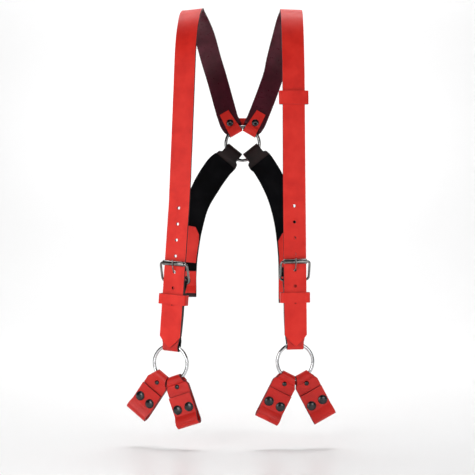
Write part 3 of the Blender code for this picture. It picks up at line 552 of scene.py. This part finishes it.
def snap_cap(node, axis):
    """Domed cap with a pressed groove inside its rim, its post, and the socket behind the leaf."""
    origin = middle(node)
    heights, radii = profile_of(node, origin, axis)
    top, foot = heights.max(), heights.min()
    radius = radii.max()
    under = heights[radii > radius - AT_CAP].min()
    socket = max(radii[heights < foot + AT_END])
    socket_top = heights[(abs(radii - socket) < AT_CAP) & (heights < under - 1 * MM)].max()
    recess = min(radii[heights < foot + AT_END])
    depth = heights[(abs(radii - recess) < AT_CAP) & (heights < under - 1 * MM)].max()
    rise = top - under
    dome = [(0, top)]
    for step in range(1, DOME_STEPS):
        part = step / DOME_STEPS
        dome.append((radius * 0.84 * part, top - rise * 0.42 * part ** 2.4))
    groove = [(radius * 0.86, top - rise * 0.56), (radius * 0.9, top - rise * 0.52),
              (radius * 0.97, top - rise * 0.6)]
    body = [(radius, top - rise * 0.8), (radius, under), (POST, under), (POST, socket_top),
            (socket, socket_top), (socket, foot), (recess, foot), (recess, depth), (0, depth)]
    profile = dome + rounded(groove + body, 0.3 * MM)
    finish(turned(node + "_enamelled", profile, origin, axis, ENAMEL), node)


def snap_stud(node, axis):
    """Stud with its flange, post and rolled base."""
    origin = middle(node)
    heights, radii = profile_of(node, origin, axis)
    top, foot = heights.max(), heights.min()
    stud = radii[heights > top - AT_END].max()
    face = heights[abs(radii - FLANGE) < AT_RIM]
    base = radii[heights < foot + AT_END].max()
    above = heights[(abs(radii - base) < AT_RIM) & (heights < 0)].max()
    waist = stud * 0.82
    points = [(0, top), (stud, top), (stud, top - 0.5 * MM), (waist, face.max() + 0.2 * MM),
              (FLANGE, face.max()), (FLANGE, face.min()), (POST, face.min()), (POST, above), (base, above),
              (base, foot), (1.2 * MM, foot), (1.0 * MM, foot + 0.3 * MM), (0, foot + 0.3 * MM)]
    finish(turned(node + "_enamelled", rounded(points, 0.25 * MM), origin, axis, ENAMEL, 32), node)


def rivet(node, axis, dimple):
    origin = middle(node)
    heights, radii = profile_of(node, origin, axis)
    top, foot = heights.max(), heights.min()
    head = radii.max()
    rims = heights[radii > head - AT_RIM]
    front = rims[rims > 0].min()
    back = rims[rims < 0].max()
    rise = top - front
    dome = [(0, top - (rise * DIMPLE_DEPTH if dimple else 0))]
    for step in range(1, DOME_STEPS):
        part = step / DOME_STEPS
        height = top - rise * 0.75 * part ** 2.6
        if dimple:
            height -= rise * DIMPLE_DEPTH * math.exp(-(part / DIMPLE_WIDTH) ** 4)
        dome.append((head * part, height))
    body = [(head, top - rise * 0.86), (head, front), (POST, front), (POST, back), (head, back),
            (head, foot), (0, foot)]
    finish(turned(node + "_enamelled", dome + rounded(body, 0.2 * MM), origin, axis, ENAMEL, 36), node)


def finish(piece, node):
    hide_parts(node)
    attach(piece, body_of(node))


def smooth_wire(node, look):
    """Bent or rolled wire: the CAD solid's own cage, subdivided smooth."""
    source = frame["nodes"][node]
    shape = bmesh.new()
    shape.from_mesh(source.data)
    bmesh.ops.remove_doubles(shape, verts=shape.verts, dist=WELD)
    bmesh.ops.join_triangles(shape, faces=shape.faces, angle_face_threshold=math.radians(30),
                             angle_shape_threshold=math.radians(60))
    bmesh.ops.recalc_face_normals(shape, faces=shape.faces)
    mesh = bpy.data.meshes.new(node + "_polished")
    shape.to_mesh(mesh)
    shape.free()
    mesh.materials.append(look)
    piece = bpy.data.objects.new(node + "_polished", mesh)
    bpy.context.scene.collection.objects.link(piece)
    smooth = piece.modifiers.new("smooth", "SUBSURF")
    smooth.levels = WIRE_LEVELS
    smooth.render_levels = WIRE_LEVELS
    apply_modifiers(piece)
    piece.data.shade_smooth()
    finish(piece, node)


def ring(node, look):
    """A welded ring: its plane, centre and wire are read from the CAD ring."""
    points = node_points(node)
    centre = points.mean(axis=0)
    _, _, axes = np.linalg.svd(points - centre, full_matrices=False)
    axis = Vector(axes[2])
    heights, radii = profile_of(node, centre, axes[2])
    wire = (heights.max() - heights.min()) / 2 - RING_TRIM
    radius = (radii.max() + radii.min()) / 2
    bpy.ops.mesh.primitive_torus_add(major_segments=128, minor_segments=28, major_radius=radius,
                                     minor_radius=wire)
    piece = bpy.context.object
    piece.name = node + "_polished"
    piece.data.materials.append(look)
    piece.data.shade_smooth()
    turn = Vector((0, 0, 1)).rotation_difference(axis).to_matrix().to_4x4()
    piece.matrix_world = Matrix.Translation(Vector(centre)) @ turn
    bpy.context.view_layer.update()
    finish(piece, node)


def roller(node):
    """The buckle's roller: a tube with rounded lips round the front bar."""
    centre = node_points(node).mean(axis=0)
    axis = Vector(joint(node.replace("buckle_roller", "roller_spin"))["axis"])
    heights, radii = profile_of(node, centre, axis)
    half, outer, inner = heights.max(), radii.max(), radii.min()
    points = [(inner, 0), (inner, half), (outer, half), (outer, -half), (inner, -half), (inner, 0)]
    piece = turned(node + "_polished", rounded(points, 0.6 * MM), Vector(centre), axis, NICKEL)
    finish(piece, node)


def metalwork():
    ring("back_ring", DARK_CHROME)
    for side in SIDES:
        ring(f"{side}_front_ring", CHROME)
        smooth_wire(f"{side}_buckle_frame", NICKEL)
        smooth_wire(f"{side}_buckle_prong", NICKEL)
        roller(f"{side}_buckle_roller")
    snaps_and_rivets()


# ---------------------------------------------------------------- studio

def backdrop():
    floor_z = CAD_BOX[0][2] - FLOOR_DROP
    mesh = bpy.data.meshes.new("floor")
    shape = bmesh.new()
    profile = [(FLOOR_FRONT, floor_z), (COVE_FROM, floor_z)]
    for step in range(1, COVE_STEPS + 1):
        angle = math.radians(90 * step / COVE_STEPS)
        depth = COVE_FROM + COVE_RADIUS * math.sin(angle)
        profile.append((depth, floor_z + COVE_RADIUS * (1 - math.cos(angle))))
    profile.append((COVE_FROM + COVE_RADIUS, floor_z + WALL_HEIGHT))
    rows = [[shape.verts.new((x, y, z)) for x in (-FLOOR_HALF, FLOOR_HALF)] for y, z in profile]
    for near, far in zip(rows, rows[1:]):
        shape.faces.new((near[0], near[1], far[1], far[0]))
    shape.to_mesh(mesh)
    shape.free()
    mesh.shade_smooth()
    material, _, shader, _ = shader_material("pale_floor", 0.35)
    shader.inputs["Base Color"].default_value = (0.93, 0.93, 0.93, 1)
    shader.inputs["Specular IOR Level"].default_value = 0.3
    mesh.materials.append(material)
    floor = bpy.data.objects.new("floor", mesh)
    bpy.context.scene.collection.objects.link(floor)


def surroundings():
    """Soft light from every side, brighter towards +Y, which the metal mirrors."""
    world = bpy.data.worlds.new("studio")
    bpy.context.scene.world = world
    world.use_nodes = True
    sky = world.node_tree
    where = sky.nodes.new("ShaderNodeTexCoord")
    apart = sky.nodes.new("ShaderNodeSeparateXYZ")
    sky.links.new(where.outputs["Generated"], apart.inputs["Vector"])
    shade = sky.nodes.new("ShaderNodeMapRange")
    shade.inputs["From Min"].default_value = 0.1
    shade.inputs["From Max"].default_value = 0.8
    shade.inputs["To Min"].default_value = 0.05
    shade.inputs["To Max"].default_value = 0.7
    sky.links.new(apart.outputs["Y"], shade.inputs["Value"])
    sky.links.new(shade.outputs["Result"], sky.nodes["Background"].inputs["Strength"])
    sky.nodes["Background"].inputs["Color"].default_value = (1, 1, 1, 1)


def lamps():
    for name, place, target, size, power in LAMPS:
        light = bpy.data.lights.new(name, "AREA")
        light.energy = power
        light.size = size
        lamp = bpy.data.objects.new(name, light)
        bpy.context.scene.collection.objects.link(lamp)
        lamp.location = place
        aim = Vector(target) - Vector(place)
        lamp.rotation_euler = aim.to_track_quat("-Z", "Y").to_euler()


def view():
    camera = bpy.data.cameras.new("camera")
    camera.lens = LENS
    camera.sensor_width = SENSOR
    eye = bpy.data.objects.new("camera", camera)
    bpy.context.scene.collection.objects.link(eye)
    eye.location = CAMERA_PLACE
    eye.rotation_euler = (math.radians(90), 0, 0)
    bpy.context.scene.camera = eye
    bpy.context.scene.view_settings.view_transform = "Standard"


straps()
tabs()
metalwork()
backdrop()
surroundings()
lamps()
view()
